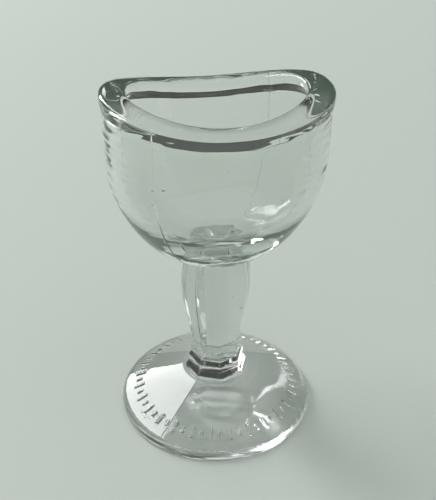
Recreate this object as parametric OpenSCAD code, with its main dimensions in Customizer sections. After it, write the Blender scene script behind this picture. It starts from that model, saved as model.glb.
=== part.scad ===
// Footed eye bath of clear pressed glass: a round foot, an eight-sided collar and stem,
// and an oval cup whose rim is curved to the eye socket.
// X is the cup's long axis, Z is up, and the origin is the centre of the foot's underside.

/* [Foot] */
// Diameter of the round foot
foot_d = 38; // [32:0.5:46]
// Height of the foot's upright edge
foot_edge_h = 2.4; // [2:0.1:3.5]
// Height of the foot's crown, where the collar stands
foot_crown_h = 8; // [6:0.25:9]
// Radius that rounds the foot's upper edge
foot_round = 1.6; // [0.4:0.1:2]
// Radius that rounds the edge of the underside
sole_round = 0.6; // [0.2:0.1:0.8]

/* [Foot border] */
// Number of raised bars in the ring round the foot
border_n = 54; // [40:2:60]
// Distance from the foot's edge to the middles of the bars
border_inset = 3.5; // [3.2:0.1:6]
// Length of a long bar, along the slope of the foot
border_bar_len = 2.3; // [1.5:0.1:3]
// Length of a short bar
border_stub_len = 1.2; // [0.8:0.1:1.4]
// Width of a bar
border_bar_w = 0.45; // [0.3:0.05:0.8]
// Height of a bar above the foot's slope
border_relief = 0.2; // [0.15:0.05:0.5]

/* [Collar] */
// Width of the collar's base over opposite corners
collar_d = 12.1; // [11.8:0.1:14]
// Height of the collar's upright base band
collar_base_h = 0.8; // [0.4:0.1:1.5]
// Width of the collar's upper band over opposite corners
collar_band_d = 10.9; // [10.2:0.1:11.6]
// Height of the slope between the collar's two bands
collar_slope_h = 0.9; // [0.6:0.1:2]
// Height of the collar's upper band
collar_band_h = 1.5; // [0.6:0.1:2]
// Height of the slope from the upper band to the stem
collar_shoulder_h = 0.7; // [0.6:0.1:2]

/* [Stem] */
// Width of the stem's neck over opposite corners
neck_d = 9.8; // [8:0.1:10]
// Height of the straight neck above the collar
neck_h = 4.25; // [2:0.25:6]
// Width of the stem over opposite corners at its widest
swell_d = 13.2; // [11:0.1:15]
// Height of the stem's widest place above the neck
swell_h = 12.25; // [10:0.25:16]
// Width of the stem over opposite corners under the cup
stem_top_d = 11.2; // [10:0.1:13]
// Height of the stem's top above its widest place
stem_top_h = 6.6; // [4:0.1:8]

/* [Cup] */
// How far the round place under the cup laps past the corners of the stem
cup_lap = 0.3; // [0.1:0.1:1]
// Outer length of the cup at its fullest
cup_len = 38.2; // [34:0.2:44]
// Outer width of the cup at its fullest
cup_wid = 30.4; // [28.6:0.2:36]
// Height of the cup's fullest place above the stem
cup_full_h = 17.9; // [15:0.1:20]
// Height of the cup from the stem to the rim's two high ends
cup_h = 31; // [28:0.1:36]
// Thickness of the glass under the hollow
cup_bottom_t = 2.6; // [1.8:0.1:5]
// Thickness of the cup's wall beside the hollow
wall_t = 2.9; // [2.2:0.1:3.6]

/* [Rim] */
// How far each side of the cup leans in from its fullest place to the rim
rim_lean = 0.7; // [0:0.1:1.5]
// How far the rim's sides dip below its ends
rim_dip = 3; // [0:0.1:4]
// Height of the rim's band of glass below its top
rim_h = 4.5; // [3:0.25:6]
// How far the rim's bead stands in over the hollow
bead_in = 1.4; // [0:0.1:1.8]
// How far the bead stands out from the cup's outside
bead_out = 0.25; // [0:0.05:0.6]
// Height of the bead, from where it leaves the wall to the rim's top
bead_h = 3.9; // [3:0.1:4.4]
// Height of the rounding over the top of the bead
lip_crown = 1.1; // [0.8:0.1:1.6]
// Squareness of the rim's oval, where 2 is an ellipse
rim_square = 2.3; // [2:0.05:3]

/* [Hidden] */

glass = [0.80, 0.86, 0.82, 0.55];

// Sides of the stem and the collar, and the steps of the curved forms
octagon = 8;
oval_steps = 72;
cup_rows = 14;
hollow_rows = 14;
rim_rows = 8;
lip_steps = 8;
stem_steps = 14;
round_steps = 6;
// How far the cup's rows crowd together near the stem, where 1 spaces them evenly
row_crowding = 1.6;

// Fullness of the cup's outer curve: how it leaves the fullest place, and how it meets the stem
cup_curve = 1.6;
cup_turn = 1.85;
// Fullness of the stem's curve up to its widest place
swell_curve = 1.1;
// Fullness of the hollow's curve, and of the rounding over the rim
hollow_curve = 2.1;
lip_curve = 2.3;
// Part of the bead's height that is at full thickness
bead_full = 0.43;
// Depth to which the border's bars reach into the foot, and its flat land round the collar
border_root = 0.4;
crown_land = 0.4;
// Least upright height left at the foot's edge between its two roundings
edge_land = 0.1;

collar_h = collar_base_h + collar_slope_h + collar_band_h + collar_shoulder_h;
stem_z = foot_crown_h + collar_h;
cup_z = stem_z + neck_h + swell_h + stem_top_h;
cup_full_z = cup_z + cup_full_h;
rim_top_z = cup_z + cup_h;
hollow_z = cup_z + cup_bottom_t;
crown_r = collar_d / 2 + crown_land;
border_r = foot_d / 2 - border_inset;
seat_r = stem_top_d / 2 + cup_lap;
// The foot's slope falls from the crown and touches the rounding of the upper edge
edge_round = min(foot_round, foot_edge_h - sole_round - edge_land);
slope_run = foot_d / 2 - edge_round - crown_r;
slope_fall = foot_crown_h - foot_edge_h + edge_round;
slope_angle = acos(edge_round / norm([slope_run, slope_fall])) - atan2(slope_run, slope_fall);

// Height of the foot's slope at a distance from the axis
function slope_z(r) = foot_crown_h - (r - crown_r) * tan(slope_angle);

// A ring with equal sides and a corner on the X axis
function octagon_ring(d, z) = [for (i = [0 : octagon - 1])
    [d / 2 * cos(i * 360 / octagon), d / 2 * sin(i * 360 / octagon), z]];

// Skins a list of rings, which all have the same number of points
module skin(rings) {
    n = len(rings[0]);
    last = len(rings) - 1;
    points = [for (ring = rings) each ring];
    bottom = [for (j = [0 : n - 1]) j];
    top = [for (j = [n - 1 : -1 : 0]) last * n + j];
    sides = [for (i = [0 : last - 1], j = [0 : n - 1]) each band(i * n, (i + 1) * n, j, n)];
    polyhedron(points, concat([bottom], sides, [top]));
}

// The two triangles between point j of one ring and of the next
function band(low, high, j, n) = [
    [low + j, high + (j + 1) % n, low + (j + 1) % n],
    [low + j, high + j, high + (j + 1) % n]];

// Round foot with a sloping top, an upright rounded edge and a ring of raised bars

function arc(cx, cz, r, from, to) = [for (i = [0 : round_steps])
    [cx + r * cos(from + (to - from) * i / round_steps),
     cz + r * sin(from + (to - from) * i / round_steps)]];

module foot_body() {
    edge_r = foot_d / 2;
    rotate_extrude($fn = 180)
        polygon(concat(
            [[0, 0]],
            arc(edge_r - sole_round, sole_round, sole_round, -90, 0),
            arc(edge_r - edge_round, foot_edge_h - edge_round, edge_round, 0, 90 - slope_angle),
            [[crown_r, foot_crown_h], [0, foot_crown_h]]));
}

module border_bar(bar_len) {
    translate([border_r, 0, slope_z(border_r)])
        rotate([0, slope_angle, 0])
            translate([-bar_len / 2, -border_bar_w / 2, -border_root])
                cube([bar_len, border_bar_w, border_root + border_relief]);
}

module foot() {
    color(glass) union() {
        foot_body();
        for (i = [0 : border_n - 1])
            rotate([0, 0, (i + 0.5) * 360 / border_n])
                border_bar(i % 2 == 0 ? border_bar_len : border_stub_len);
    }
}

// Eight-sided collar in two bands, which carries the stem on the foot's crown
module collar() {
    slope_at = foot_crown_h + collar_base_h;
    band_at = slope_at + collar_slope_h;
    shoulder_at = band_at + collar_band_h;
    color(glass) skin([
        octagon_ring(collar_d, foot_crown_h),
        octagon_ring(collar_d, slope_at),
        octagon_ring(collar_band_d, band_at),
        octagon_ring(collar_band_d, shoulder_at),
        octagon_ring(neck_d, stem_z)]);
}

// Eight-sided stem: a straight neck, a swelling and a slight drawing in under the cup

function swell_at(u) = neck_d + (swell_d - neck_d) * sin(90 * pow(u, swell_curve));
function draw_in_at(u) = swell_d - (swell_d - stem_top_d) * pow(u, 2);

module stem() {
    neck_top = stem_z + neck_h;
    swell_z = neck_top + swell_h;
    color(glass) skin(concat(
        [octagon_ring(neck_d, stem_z)],
        [for (i = [0 : stem_steps])
            octagon_ring(swell_at(i / stem_steps), neck_top + swell_h * i / stem_steps)],
        [for (i = [1 : round_steps])
            octagon_ring(draw_in_at(i / round_steps), swell_z + stem_top_h * i / round_steps)]));
}

// Oval cup and rim: both are drawn from the same rules for the outside, the hollow and the top

function share(x, low, high) = min(1, max(0, (x - low) / (high - low)));
function signed_pow(x, e) = sign(x) * pow(abs(x), e);
function oval(t, n) = [signed_pow(cos(t), 2 / n), signed_pow(sin(t), 2 / n)];

// The outside's fullness at a height, from 0 at the stem to 1 at its fullest place
function fullness(z) = pow(1 - pow(1 - share(z, cup_z, cup_full_z), cup_curve), 1 / cup_turn);
function lean(z) = pow(share(z, cup_full_z, rim_top_z - rim_dip), 2);
function outer_x(z) = seat_r + (cup_len / 2 - seat_r) * fullness(z);
function outer_y(z) = seat_r + (cup_wid / 2 - seat_r) * fullness(z) - rim_lean * lean(z);

// The hollow's fullness at a height, from 0 at its bottom to 1 beside the cup's fullest place
function hollowness(z) =
    pow(1 - pow(1 - share(z, hollow_z, cup_full_z), hollow_curve), 1 / hollow_curve);
function inner_x(z) = (cup_len / 2 - wall_t) * hollowness(z);
function inner_y(z) = (cup_wid / 2 - wall_t) * hollowness(z) - rim_lean * lean(z);

// Height of the rim's top round the oval, and of the joint between the cup and the rim
function top_z(t) = rim_top_z - rim_dip * (1 - pow(oval(t, rim_square)[0], 2));
function joint_z(t) = top_z(t) - rim_h;

// A point of a wall: size_x and size_y are its half length and half width there
function wall_point(size_x, size_y, t, n, z) =
    let (o = oval(t, n)) [size_x * o[0], size_y * o[1], z];
function squareness(v) = 2 + (rim_square - 2) * v;

function outer_row(v) = [for (j = [0 : oval_steps - 1])
    let (t = j * 360 / oval_steps, z = cup_z + (joint_z(t) - cup_z) * v)
    wall_point(outer_x(z), outer_y(z), t, squareness(v), z)];
function hollow_row(v) = [for (j = [0 : oval_steps - 1])
    let (t = j * 360 / oval_steps, z = hollow_z + (joint_z(t) - hollow_z) * v)
    wall_point(inner_x(z), inner_y(z), t, squareness(v), z)];

module cup() {
    n = oval_steps;
    outside = [for (i = [0 : cup_rows]) outer_row(pow(i / cup_rows, row_crowding))];
    hollow = [for (i = [hollow_rows : -1 : 1]) hollow_row(1 - cos(90 * i / hollow_rows))];
    rings = concat(outside, hollow);
    last = len(rings) - 1;
    centre = len(rings) * n;
    points = concat([for (ring = rings) each ring], [[0, 0, hollow_z]]);
    seat = [for (j = [0 : n - 1]) j];
    walls = [for (i = [0 : last - 1], j = [0 : n - 1]) each band(i * n, (i + 1) * n, j, n)];
    bottom = [for (j = [0 : n - 1]) [last * n + j, centre, last * n + (j + 1) % n]];
    color(glass) polyhedron(points, concat([seat], walls, bottom));
}

// The bead's thickness at a depth below the rim's top, from 0 at the wall to 1 when it is full
function bead(depth) = let (u = share(depth, bead_h * bead_full, bead_h)) 1 - u * u * (3 - 2 * u);

// The rim's section runs up the hollow, over the rounded top and down the outside
function rim_wall_point(t, z, inside) =
    let (b = bead(top_z(t) - z))
    inside ? wall_point(inner_x(z) - bead_in * b, inner_y(z) - bead_in * b, t, rim_square, z)
           : wall_point(outer_x(z) + bead_out * b, outer_y(z) + bead_out * b, t, rim_square, z);
function rim_wall_row(v, inside) = [for (j = [0 : oval_steps - 1])
    let (t = j * 360 / oval_steps)
    rim_wall_point(t, joint_z(t) + (rim_h - lip_crown) * v, inside)];
function lip_row(a) = [for (j = [0 : oval_steps - 1])
    let (t = j * 360 / oval_steps, z = top_z(t) - lip_crown, across = signed_pow(cos(a), 2 / lip_curve),
         inner = rim_wall_point(t, z, true), outer = rim_wall_point(t, z, false))
    (inner + outer) / 2 + (inner - outer) / 2 * across + [0, 0, lip_crown * pow(sin(a), 2 / lip_curve)]];

module rim() {
    n = oval_steps;
    rings = concat(
        [for (i = [0 : rim_rows]) rim_wall_row(i / rim_rows, true)],
        [for (i = [1 : lip_steps - 1]) lip_row(180 * i / lip_steps)],
        [for (i = [rim_rows : -1 : 0]) rim_wall_row(i / rim_rows, false)]);
    count = len(rings);
    points = [for (ring = rings) each ring];
    walls = [for (i = [0 : count - 1], j = [0 : n - 1]) each band(i * n, (i + 1) % count * n, j, n)];
    color(glass) polyhedron(points, [for (f = walls) [f[0], f[2], f[1]]]);
}

foot();
collar();
stem();
cup();
rim();
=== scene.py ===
import math

import bpy
import numpy as np
from mathutils import Matrix, Vector, noise


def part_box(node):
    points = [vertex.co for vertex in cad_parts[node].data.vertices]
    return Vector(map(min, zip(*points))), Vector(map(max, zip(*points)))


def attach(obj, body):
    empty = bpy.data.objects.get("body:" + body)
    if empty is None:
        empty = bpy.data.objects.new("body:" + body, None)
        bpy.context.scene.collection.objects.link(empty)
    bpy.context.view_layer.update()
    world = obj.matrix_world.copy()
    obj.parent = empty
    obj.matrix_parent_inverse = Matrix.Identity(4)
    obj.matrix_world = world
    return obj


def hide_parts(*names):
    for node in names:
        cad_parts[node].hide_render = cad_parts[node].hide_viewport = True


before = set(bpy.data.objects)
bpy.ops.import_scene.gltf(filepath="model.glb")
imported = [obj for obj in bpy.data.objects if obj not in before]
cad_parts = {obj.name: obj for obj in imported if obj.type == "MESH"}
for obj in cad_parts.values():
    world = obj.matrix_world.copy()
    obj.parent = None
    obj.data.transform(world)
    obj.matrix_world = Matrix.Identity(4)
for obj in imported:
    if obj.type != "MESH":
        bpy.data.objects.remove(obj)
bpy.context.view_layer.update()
MM = 0.001

# The view
# The photograph looks down on the eye bath from the front, a little to the left of the cup's
# short axis. The eye bath fills the picture's height, from about 14 cm away.
view_turn = math.radians(10.6)
view_height = math.radians(31.06)
view_distance = 140 * MM
view_roll = 0.007
view_target = Vector((0.29, 0, 34.5)) * MM
photo_focus_px, photo_height_px, sensor_mm = 762.3, 500, 36
nearest_seen, farthest_seen = MM, 10

away = Vector((0, -math.cos(view_height), math.sin(view_height)))
side = Vector((1, 0, 0))
up = side.cross(-away)
right = side * math.cos(view_roll) + up * math.sin(view_roll)
up = up * math.cos(view_roll) - side * math.sin(view_roll)
facing = Matrix((right, up, away)).transposed().to_4x4()
stand = Matrix.Translation(view_target + away * view_distance) @ facing
lens = bpy.data.cameras.new("photograph_view")
lens.sensor_width = sensor_mm
lens.lens = photo_focus_px / photo_height_px * sensor_mm
lens.clip_start, lens.clip_end = nearest_seen, farthest_seen
camera = bpy.data.objects.new("photograph_view", lens)
camera.matrix_world = Matrix.Rotation(-view_turn, 4, "Z") @ stand
bpy.context.scene.collection.objects.link(camera)
bpy.context.scene.camera = camera

# The foot
# The real foot is the pressed glass disc that the eye bath stands on: a sloping top with a ring of
# raised marks, a rounded edge and an underside that is a little hollow. It runs on into the collar
# without a joint.
turn = 2 * math.pi
foot_r, crown_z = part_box("foot")[1].x / MM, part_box("foot")[1].z / MM
collar_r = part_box("collar")[1].x / MM
foot_edge_h, foot_round, sole_round, crown_land = 2.4, 1.6, 0.6, 0.4
sole_hollow, sole_wave, sole_slice, sole_land = 0.12, 4.5, 3, 5
border_n, border_inset, border_relief = 54, 3.5, 0.2
bar_len, stub_len, bar_w, bar_edge = 2.3, 1.2, 0.45, 0.06
seam_angle, seam_high, seam_half = math.radians(45), 0.1, 0.12
foot_seam_share, stem_seam_share = 0.5, 2
sole_rows, edge_rows, crown_rows = 8, 13, 6
sole_gap, slope_gap, bar_gap, crown_gap = 0.9, 0.25, 0.055, 0.35

crown_r = collar_r + crown_land
border_r = foot_r - border_inset
border_out, border_in = border_r + bar_len / 2, border_r - bar_len / 2
pitch = turn / border_n
slope_run, slope_fall = foot_r - foot_round - crown_r, crown_z - foot_edge_h + foot_round
slope = math.acos(foot_round / math.hypot(slope_run, slope_fall)) - math.atan2(slope_run, slope_fall)
slope_out = foot_r - foot_round * (1 - math.sin(slope))
slope_low = foot_edge_h - foot_round * (1 - math.cos(slope))


class Value:
    """A shader socket that takes part in sums."""

    def __init__(self, tree, socket):
        self.tree, self.socket = tree, socket

    def node(self, kind, settings=(), inputs=(), out=0):
        """Adds a node: its type, its settings, then the values or links of its sockets."""
        made = self.tree.nodes.new(kind)
        for name, value in dict(settings).items():
            setattr(made, name, value)
        for name, value in dict(inputs).items():
            if isinstance(value, Value):
                self.tree.links.new(value.socket, made.inputs[name])
            else:
                made.inputs[name].default_value = value
        return Value(self.tree, made.outputs[out] if made.outputs else None)

    def maths(self, operation, first, second):
        return self.node("ShaderNodeMath", {"operation": operation}, {0: first, 1: second})

    def __add__(self, other):
        return self.maths("ADD", self, other)

    def __sub__(self, other):
        return self.maths("SUBTRACT", self, other)

    def __rsub__(self, other):
        return self.maths("SUBTRACT", other, self)

    def __mul__(self, other):
        return self.maths("MULTIPLY", self, other)

    __radd__, __rmul__ = __add__, __mul__

    def rise(self, low, high):
        """0 below low and 1 above high, both in millimetres, with a straight climb between them."""
        return self.node("ShaderNodeMapRange", {}, {0: self, 1: low * MM, 2: high * MM})

    def tint(self, off, on):
        """The first colour where this mask is 0 and the second where it is 1."""
        off, on = (colour if isinstance(colour, Value) else (*colour, 1) for colour in (off, on))
        return self.node("ShaderNodeMix", {"data_type": "RGBA"}, {0: self, 6: off, 7: on}, out=2)


def new_material(name):
    material = bpy.data.materials.new(name)
    material.use_nodes = True
    material.node_tree.nodes.clear()
    return material, Value(material.node_tree, None)


def pressed_glass():
    """Clear glass, a little greener and darker in the stem than in the foot and the cup. The mould
    left a soft ripple on it, the ring of marks is worn, and the underside is dulled by standing on
    shelves. Light that has turned back more than three times inside is lost to the renderer, and a
    painted dim grey-green glow, given off by the glass itself, takes its place."""
    foot_colour, stem_colour, cup_colour = (0.96, 0.97, 0.963), (0.74, 0.775, 0.75), (0.89, 0.905, 0.893)
    stem_tint, cup_tint = (12, 17), (33, 38)
    ripple_scale, worn_scale, worn_depth = 420.0, 2600.0, 4.5
    ring_half, ring_soft, ring_top = 1.3, 0.4, 0.5
    dulled_h, dulled_roughness = 0.3, 0.1
    trapped_turns, trapped_glow_colour = 3.5, (0.045, 0.062, 0.048)
    shadow_colour, through_foot, more_through_cup = (0.93, 0.95, 0.94), 0.3, 0.35

    material, make = new_material("pressed_glass")
    place = make.node("ShaderNodeTexCoord", out="Object")
    height = make.node("ShaderNodeSeparateXYZ", {}, {0: place}, out="Z")
    flat = make.node("ShaderNodeVectorMath", {"operation": "MULTIPLY"}, {0: place, 1: (1, 1, 0)})
    reach = make.node("ShaderNodeVectorMath", {"operation": "LENGTH"}, {0: flat}, out="Value")

    ring_in, ring_out = border_r - ring_half, border_r + ring_half
    past_inner = reach.rise(ring_in - ring_soft, ring_in + ring_soft)
    past_outer = reach.rise(ring_out - ring_soft, ring_out + ring_soft)
    in_ring = (past_inner - past_outer) * (1 - height.rise(crown_z, crown_z + ring_top))
    ripple = make.node("ShaderNodeTexNoise", {}, {
        "Vector": place, "Scale": ripple_scale, "Detail": 2.0, "Roughness": 0.5})
    worn = make.node("ShaderNodeTexNoise", {}, {
        "Vector": place, "Scale": worn_scale, "Detail": 1.0, "Roughness": 0.5})
    uneven = ripple + worn * in_ring * worn_depth
    normal = make.node("ShaderNodeBump", {}, {"Height": uneven, "Strength": 0.03, "Distance": 0.4 * MM})
    dulled = dulled_roughness * (1 - height.rise(0, dulled_h))

    in_stem, in_cup = height.rise(*stem_tint), height.rise(*cup_tint)
    colour = in_cup.tint(in_stem.tint(foot_colour, stem_colour), cup_colour)
    turns = make.node("ShaderNodeLightPath", out="Glossy Depth")
    # Painted glow: where light has turned back more than three times inside, the glass gives off a dim
    # grey-green light in place of the lost light.
    glow = make.maths("GREATER_THAN", turns, trapped_turns).tint((0, 0, 0), trapped_glow_colour)
    glass = make.node("ShaderNodeBsdfPrincipled", {}, {
        "Base Color": colour, "Roughness": dulled, "IOR": 1.51, "Transmission Weight": 1.0,
        "Emission Color": glow, "Emission Strength": 1.0, "Normal": normal})
    clear = make.node("ShaderNodeBsdfTransparent", {}, {"Color": (*shadow_colour, 1)})
    shaded = make.node("ShaderNodeLightPath", out="Is Shadow Ray")
    let_through = shaded * (through_foot + in_cup * more_through_cup)
    finish = make.node("ShaderNodeMixShader", {}, {0: let_through, 1: glass, 2: clear})
    make.node("ShaderNodeOutputMaterial", {}, {"Surface": finish})
    return material


glass_finish = pressed_glass()


def skin(first, rows, sides):
    """Faces between neighbouring rings of points, from the first point on."""
    faces = []
    for low in range(first, first + (rows - 1) * sides, sides):
        for j in range(sides):
            k = (j + 1) % sides
            faces.append((low + j, low + k, low + sides + k, low + sides + j))
    return faces


def bubble(x, y, z, size, rows, sides):
    """Points of a bubble from its top down, so that its faces look inwards, to the air in it."""
    points, tip = [], 0.01
    for a in np.linspace(tip, math.pi - tip, rows):
        for b in np.arange(sides) * turn / sides:
            reach = size * math.sin(a)
            points.append((x + reach * math.cos(b), y + reach * math.sin(b), z + size * math.cos(a)))
    return points


def make_glass(name, runs, start=None, end=None, bubbles=()):
    """Skins the rings of each run, and closes the first and the last with a point if one is given.
    A run is left open where the glass runs on into the next part. Bubbles are small hollows in the
    glass, each with its place and its radius."""
    sides = len(runs[0][0])
    points = [point for rings in runs for ring in rings for point in ring]
    faces, first = [], 0
    for rings in runs:
        faces += skin(first, len(rings), sides)
        first += len(rings) * sides
    for close, ring, flip in ((start, 0, True), (end, first - sides, False)):
        if close is None:
            continue
        points.append(close)
        for j in range(sides):
            edge = (ring + j, ring + (j + 1) % sides)
            faces.append((len(points) - 1, *(edge[::-1] if flip else edge)))
    bubble_rows, bubble_sides = 9, 14
    for x, y, z, size in bubbles:
        faces += skin(len(points), bubble_rows, bubble_sides)
        points += bubble(x, y, z, size, bubble_rows, bubble_sides)
    mesh = bpy.data.meshes.new(name)
    mesh.from_pydata([tuple(float(c) * MM for c in point) for point in points], [], faces)
    mesh.materials.append(glass_finish)
    mesh.polygons.foreach_set("use_smooth", [True] * len(faces))
    mesh.update()
    piece = bpy.data.objects.new(name, mesh)
    bpy.context.scene.collection.objects.link(piece)
    return piece


def dress(piece, node):
    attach(piece, "root")
    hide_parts(node)


def share(x, low, high):
    return np.clip((x - low) / (high - low), 0, 1)


def smooth(x, low, high):
    t = share(x, low, high)
    return t * t * (3 - 2 * t)


def octagon_outline(corner_r, angles):
    """Distance from the axis, at each angle, of an octagon with rounded corners on the axes."""
    rounding, eighth = 0.45, turn / 8
    a = np.abs((angles + eighth / 2) % eighth - eighth / 2)
    flat = corner_r * math.cos(eighth / 2) / np.cos(eighth / 2 - a)
    centre = corner_r - rounding / math.cos(eighth / 2)
    arc = centre * np.cos(a) + np.sqrt(np.maximum(rounding**2 - (centre * np.sin(a)) ** 2, 0))
    touch = math.atan2(rounding * math.sin(eighth / 2), centre + rounding * math.cos(eighth / 2))
    return np.where(a < touch, arc, flat)


def seam(angles, r):
    """Height of the two mould seams on the cup, on opposite diagonals. They stand half as high on
    the foot and twice as high on the stem."""
    off = np.abs((angles - seam_angle + math.pi / 2) % math.pi - math.pi / 2) * r
    return seam_high * np.exp(-((off / seam_half) ** 2) * 2)


def with_seams(plain, half, count, gap):
    """Angles with a fan of closer ones over each seam, where the plain ones make way."""
    fans = np.concatenate([np.linspace(-half, half, count) + seam_angle + k * math.pi for k in (0, 1)])
    clear = np.min(np.abs(plain[:, None] - fans[None]), axis=1) > gap
    return np.concatenate([plain[clear], fans])


def ring_of(angles, r, z):
    return np.stack([r * np.cos(angles), r * np.sin(angles), np.broadcast_to(z, angles.shape)], -1)


def border(angles, r):
    """Height of the ring of raised bars, long and short in turn."""
    number = np.floor(angles / pitch)
    across = np.abs(angles - (number + 0.5) * pitch) * r
    along = abs(r - border_r) / math.cos(slope)
    half = np.where(number % 2 == 0, bar_len, stub_len) / 2
    in_width = 1 - smooth(across, bar_w / 2 - bar_edge, bar_w / 2 + bar_edge)
    in_length = 1 - smooth(along, half - bar_edge, half + bar_edge)
    return border_relief * in_width * in_length


def bar_angles():
    """Angles round the foot: close together over the sides of each bar, and plain between bars."""
    between = np.array([-1, -0.7]) * pitch / 2
    bar_side = (bar_w / 2 + np.array([-1, -0.33, 0.33, 1]) * bar_edge) / border_r
    across_bar = np.concatenate([between, -bar_side[::-1], [0], bar_side, -between[::-1][:-1]])
    return ((np.arange(border_n) + 0.5)[:, None] * pitch + across_bar[None]).ravel()


round_foot = with_seams(bar_angles(), half=0.035, count=29, gap=0.003)
round_foot = np.unique(np.round(round_foot % turn, 6))

foot_rings = []
for t in np.radians(np.linspace(-90, 0, sole_rows)):
    r = foot_r - sole_round + sole_round * math.cos(t)
    foot_rings.append(ring_of(round_foot, r, sole_round + sole_round * math.sin(t)))
for t in np.linspace(0, math.pi / 2 - slope, edge_rows):
    r = foot_r - foot_round + foot_round * math.cos(t)
    foot_rings.append(ring_of(round_foot, r, foot_edge_h - foot_round + foot_round * math.sin(t)))
slope_rows = np.concatenate([
    np.arange(slope_out - slope_gap, border_out, -slope_gap), np.arange(border_out, border_in, -bar_gap),
    np.arange(border_in, crown_r, -crown_gap), [crown_r]])
for r in slope_rows:
    z = slope_low + (crown_z - slope_low) * (slope_out - r) / (slope_out - crown_r)
    z = z + border(round_foot, r) + foot_seam_share * seam(round_foot, r)
    foot_rings.append(ring_of(round_foot, r, z))
collar_foot = octagon_outline(collar_r, round_foot)
for u in np.linspace(0, 1, crown_rows)[1:]:
    foot_rings.append(ring_of(round_foot, crown_r + (collar_foot - crown_r) * u, crown_z))

sole_rings = []
for r in np.arange(sole_gap, foot_r - sole_round, sole_gap):
    hollowed = sole_hollow * (1 - smooth(r, foot_r - sole_land, foot_r - sole_round))
    places = [Vector((r * math.cos(a), r * math.sin(a), sole_slice)) for a in round_foot]
    waves = np.array([noise.noise(place / sole_wave) for place in places])
    sole_rings.append(ring_of(round_foot, r, hollowed * (0.5 + 0.5 * waves)))
foot = make_glass("foot_glass", [sole_rings + foot_rings], start=(0, 0, sole_hollow / 2))
dress(foot, "foot")

# The collar
# The real collar is an eight-sided step in two bands, where the stem spreads onto the foot's crown.
# It is of the same pressing, and its corners are softened by fire polishing.
collar_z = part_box("collar")[0].z / MM
collar_band_r, neck_r = 5.45, 4.9
collar_base_h, collar_slope_h, collar_band_h, collar_shoulder_h = 0.8, 0.9, 1.5, 0.7
stem_turns = 720
round_stem = np.arange(stem_turns) * turn / stem_turns


def octagon_ring(corner_r, z):
    r = octagon_outline(corner_r, round_stem)
    return ring_of(round_stem, r + stem_seam_share * seam(round_stem, corner_r), z)


def softened(corners, gap):
    """Points along a section's straight runs, with its corners softened."""
    corners = np.array(corners)
    points = []
    for low, high in zip(corners[:-1], corners[1:]):
        count = max(2, int(np.linalg.norm(high - low) / gap))
        points += [low + (high - low) * t for t in np.arange(count) / count]
    points = np.array([*points, corners[-1]])
    for _ in range(2):
        points[1:-1] = (points[:-2] + 2 * points[1:-1] + points[2:]) / 4
    return points


slope_z = collar_z + collar_base_h
band_z = slope_z + collar_slope_h
shoulder_z = band_z + collar_band_h
collar_section = softened([
    (collar_r, collar_z), (collar_r, slope_z), (collar_band_r, band_z), (collar_band_r, shoulder_z),
    (neck_r, shoulder_z + collar_shoulder_h)], gap=0.1)
collar = make_glass("collar_glass", [[octagon_ring(r, z) for r, z in collar_section]])
dress(collar, "collar")

# The stem
# The real stem is eight-sided: a straight neck, a swelling that is widest under the cup, and a slight
# drawing in where it meets the cup. The mould's two halves met along two of its corners.
stem_low, stem_high = (np.array(corner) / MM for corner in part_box("stem"))
neck_h, stem_top_h, stem_top_r = 4.25, 6.6, 5.6
swell_r, swell_curve, stem_rows = stem_high[0], 1.1, 90
neck_top, swell_z = stem_low[2] + neck_h, stem_high[2] - stem_top_h


def stem_r(z):
    if z < neck_top:
        return neck_r
    if z < swell_z:
        climbed = ((z - neck_top) / (swell_z - neck_top)) ** swell_curve
        return neck_r + (swell_r - neck_r) * math.sin(math.pi / 2 * climbed)
    return swell_r - (swell_r - stem_top_r) * ((z - swell_z) / stem_top_h) ** 2


stem_rings = [octagon_ring(stem_r(z), z) for z in np.linspace(stem_low[2], stem_high[2], stem_rows)]
stem_bubbles = [(3.7, -3.8, 24.0, 0.2), (2.0, -4.8, 27.2, 0.14), (-1.6, -3.5, 20.5, 0.1)]
stem = make_glass("stem_glass", [stem_rings], bubbles=stem_bubbles)
dress(stem, "stem")

# The cup
# The real cup is oval, pressed over a plunger that left its hollow, with a thick bottom over the
# stem. It is widest above its middle, and its two sides lean in towards the rim.
cup_low, cup_high = (np.array(corner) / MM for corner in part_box("cup"))
rim_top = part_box("rim")[1].z / MM
cup_full_h, cup_bottom, wall, seat_r = 17.9, 2.6, 2.9, 5.9
cup_curve, cup_turn, hollow_curve = 1.6, 1.85, 2.1
rim_dip, rim_h, rim_lean, rim_square, lip_crown = 3.0, 4.5, 0.7, 2.3, 1.1
ripple_wide, ripple_tall = 5, 0.9
ripple_least, ripple_more, ripple_at_ends, ripple_behind = 0.025, 0.015, 0.15, 0.1
cup_sides, cup_rows, hollow_rows, row_crowding = 300, 161, 80, 1.2
fillet_share, fillet_pull = 0.03, 0.5

cup_z = cup_low[2]
cup_full_z, hollow_z = cup_z + cup_full_h, cup_z + cup_bottom
ripple_starts, ripple_full = rim_top - 20, rim_top - 14
ripple_fades, ripple_ends = rim_top - 3.2, rim_top - 1.6


def lean(z):
    return rim_lean * share(z, cup_full_z, rim_top - rim_dip) ** 2


def outside(z):
    full = (1 - (1 - share(z, cup_z, cup_full_z)) ** cup_curve) ** (1 / cup_turn)
    return seat_r + (cup_high[0] - seat_r) * full, seat_r + (cup_high[1] - seat_r) * full - lean(z)


def hollow(z):
    full = (1 - (1 - share(z, hollow_z, cup_full_z)) ** hollow_curve) ** (1 / hollow_curve)
    return (cup_high[0] - wall) * full, (cup_high[1] - wall) * full - lean(z)


def oval(angles, half_x, half_y, square):
    c, s = np.abs(np.cos(angles)), np.abs(np.sin(angles))
    half_x, half_y = np.maximum(half_x, 1e-4), np.maximum(half_y, 1e-4)
    return ((c / half_x) ** square + (s / half_y) ** square) ** (-1 / square)


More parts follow.
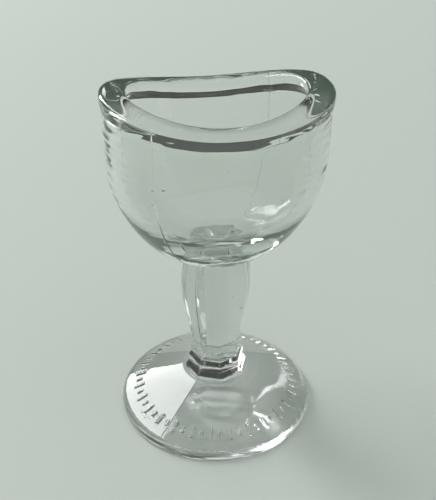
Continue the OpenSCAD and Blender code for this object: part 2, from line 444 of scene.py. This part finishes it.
def top_z(angles):
    """Height of the rim's top at each angle: high at the cup's ends and low at its sides."""
    half_x, half_y = outside(np.full_like(angles, rim_top - rim_dip))
    along = oval(angles, half_x, half_y, rim_square) * np.abs(np.cos(angles)) / half_x
    return rim_top - rim_dip * (1 - along**2)


def chill(angles, r, z):
    """Depth of the ripples that the cold mould left on the outside, deepest in the cup's upper part
    at its two ends and on the far side."""
    at_ends = np.abs(np.cos(angles)) ** 3
    behind = smooth(np.sin(angles), 0.3, 0.8)
    upper = smooth(z, ripple_starts, ripple_full) * (1 - smooth(z, ripple_fades, ripple_ends))
    depth = ripple_least + (ripple_more + ripple_at_ends * at_ends + ripple_behind * behind) * upper
    x, y = r * np.cos(angles), r * np.sin(angles)
    places = zip(x / ripple_wide, y / ripple_wide, z / ripple_tall)
    return depth * np.array([0.5 + 0.5 * noise.noise(Vector(place)) for place in places])


def outer_ring(v):
    z = cup_z + (joint_z - cup_z) * v
    half_x, half_y = outside(z)
    r = oval(round_cup, half_x, half_y, 2 + (rim_square - 2) * v)
    return ring_of(round_cup, r + seam(round_cup, r) - chill(round_cup, r, z), z)


def hollow_ring(v):
    z = hollow_z + (joint_z - hollow_z) * v
    half_x, half_y = hollow(z)
    return ring_of(round_cup, oval(round_cup, half_x, half_y, 2 + (rim_square - 2) * v), z)


round_cup = with_seams(np.arange(cup_sides) * turn / cup_sides, half=0.03, count=25, gap=0.004)
round_cup = np.sort(round_cup)
joint_z = top_z(round_cup) - rim_h
stem_edge = octagon_outline(stem_top_r, round_cup) + seam(round_cup, stem_top_r)
outer_rings = [ring_of(round_cup, stem_edge, cup_z)]
for v in np.linspace(0, 1, cup_rows)[1:] ** row_crowding:
    ring = outer_ring(v)
    r = np.linalg.norm(ring[:, :2], axis=1)
    toward_stem = fillet_pull * (1 - smooth(v, 0, fillet_share))
    outer_rings.append(ring_of(round_cup, r + (stem_edge - r) * toward_stem, ring[:, 2]))
hollow_rings = [hollow_ring(v) for v in 1 - np.cos(np.linspace(math.pi / 2, 0, hollow_rows)[:-1])]
cup_bubbles = [
    (-12.2, -10.8, 50.8, 0.2), (-12.1, -11.0, 53.3, 0.15), (-10.5, -11.9, 53.7, 0.24),
    (-0.7, -13.8, 57.0, 0.12), (8.1, -12.9, 50.8, 0.1), (4.0, 12.6, 48.0, 0.16)]
cup = make_glass("cup_glass", [outer_rings, hollow_rings], end=(0, 0, hollow_z), bubbles=cup_bubbles)
dress(cup, "cup")

# The rim
# The real rim is the cup's thick lip, rounded in the fire. It is high at the cup's two ends and dips
# at its sides, so that it closes round the eye.
bead_in, bead_out, bead_h, bead_full, lip_curve = 1.4, 0.25, 3.9, 0.43, 2.3
wall_rows, lip_rows = 31, 49


def bead(depth):
    """The bead's thickness at a depth below the rim's top: none at the wall and 1 where it is full."""
    return 1 - smooth(depth, bead_h * bead_full, bead_h)


def wall_ring(v, rule, out):
    z = joint_z + (rim_h - lip_crown) * v
    half_x, half_y = rule(z)
    thick = out * bead(top_z(round_cup) - z)
    r = oval(round_cup, half_x + thick, half_y + thick, rim_square)
    if rule is outside:
        r = r + seam(round_cup, r) - chill(round_cup, r, z)
    return ring_of(round_cup, r, z)


def lip_ring(a):
    across = math.copysign(abs(math.cos(a)) ** (2 / lip_curve), math.cos(a))
    outer, inner = wall_ring(1, outside, bead_out), wall_ring(1, hollow, -bead_in)
    ring = (outer + inner) / 2 + (outer - inner) / 2 * across
    ring[:, 2] += lip_crown * abs(math.sin(a)) ** (2 / lip_curve)
    return ring


rim_rings = [wall_ring(v, outside, bead_out) for v in np.linspace(0, 1, wall_rows)]
rim_rings += [lip_ring(a) for a in np.linspace(0, math.pi, lip_rows)[1:-1]]
rim_rings += [wall_ring(v, hollow, -bead_in) for v in np.linspace(1, 0, wall_rows)]
rim = make_glass("rim_glass", [rim_rings])
dress(rim, "rim")

# The table and the light
# The eye bath stands on a plain pale table, with a tilted window and a farther one in the wall on
# its left. The room is pale but for a dark doorway behind the table, which the glass bends into its
# dark bands.
table_half, table_z = 3.0, -0.05 * MM
table_colour, table_roughness = (0.54, 0.593, 0.55), 0.7
wall_x = -1.2


def table_finish():
    material, make = new_material("table")
    matt = make.node("ShaderNodeBsdfPrincipled", {}, {
        "Base Color": (*table_colour, 1), "Roughness": table_roughness})
    make.node("ShaderNodeOutputMaterial", {}, {"Surface": matt})
    return material


corners = [(x * table_half, y * table_half, table_z) for x, y in ((-1, -1), (1, -1), (1, 1), (-1, 1))]
table_mesh = bpy.data.meshes.new("table")
table_mesh.from_pydata(corners, [], [(0, 1, 2, 3)])
table_mesh.materials.append(table_finish())
table = bpy.data.objects.new("table", table_mesh)
bpy.context.scene.collection.objects.link(table)


def add_window(name, along_wall, height, tilt, size, power):
    """A soft light in the wall on the left, facing straight across the table and tilted in the wall."""
    lamp = bpy.data.lights.new(name, "AREA")
    lamp.shape, lamp.size, lamp.size_y = "RECTANGLE", size[0], size[1]
    lamp.energy = power
    light = bpy.data.objects.new(name, lamp)
    room_turn = Matrix.Rotation(-view_turn, 4, "Z")
    place = Matrix.Translation((wall_x, along_wall, height))
    across_room = Matrix(((0, 0, -1), (1, 0, 0), (0, 1, 0))).to_4x4()
    light.matrix_world = room_turn @ place @ across_room @ Matrix.Rotation(tilt, 4, "Z")
    bpy.context.scene.collection.objects.link(light)


add_window("window", along_wall=0.93, height=1.22, tilt=math.radians(-48), size=(2.4, 0.62), power=44.0)
add_window("far_window", along_wall=3.3, height=1.25, tilt=0, size=(1.6, 0.7), power=12.0)


def room():
    """Pale above the doorway and half as pale at both sides of it, with soft edges."""
    dark, pale = (0.035, 0.034, 0.031), (0.82, 0.85, 0.832)
    door_turn = view_turn + math.radians(10)
    over_door = {"From Min": 0.47, "From Max": 0.82}
    beside_door = {"From Min": 0.1, "From Max": 0.45, "To Min": 0.5, "To Max": 0.0}
    eased = {"interpolation_type": "SMOOTHSTEP"}

    world = bpy.data.worlds.new("room")
    world.use_nodes = True
    world.node_tree.nodes.clear()
    make = Value(world.node_tree, None)
    way = make.node("ShaderNodeTexCoord", out="Generated")
    height = make.node("ShaderNodeSeparateXYZ", {}, {0: way}, out="Z")
    toward_door = make.node("ShaderNodeVectorMath", {"operation": "DOT_PRODUCT"}, {
        0: way, 1: (math.sin(door_turn), math.cos(door_turn), 0)}, out="Value")
    above = make.node("ShaderNodeMapRange", eased, {"Value": height, **over_door})
    aside = make.node("ShaderNodeMapRange", eased, {"Value": toward_door, **beside_door})
    colour = make.maths("MAXIMUM", above, aside).tint(dark, pale)
    walls = make.node("ShaderNodeBackground", {}, {"Color": colour, "Strength": 1.0})
    make.node("ShaderNodeOutputWorld", {}, {"Surface": walls})
    return world


bpy.context.scene.world = room()
bpy.context.scene.view_settings.view_transform = "Standard"
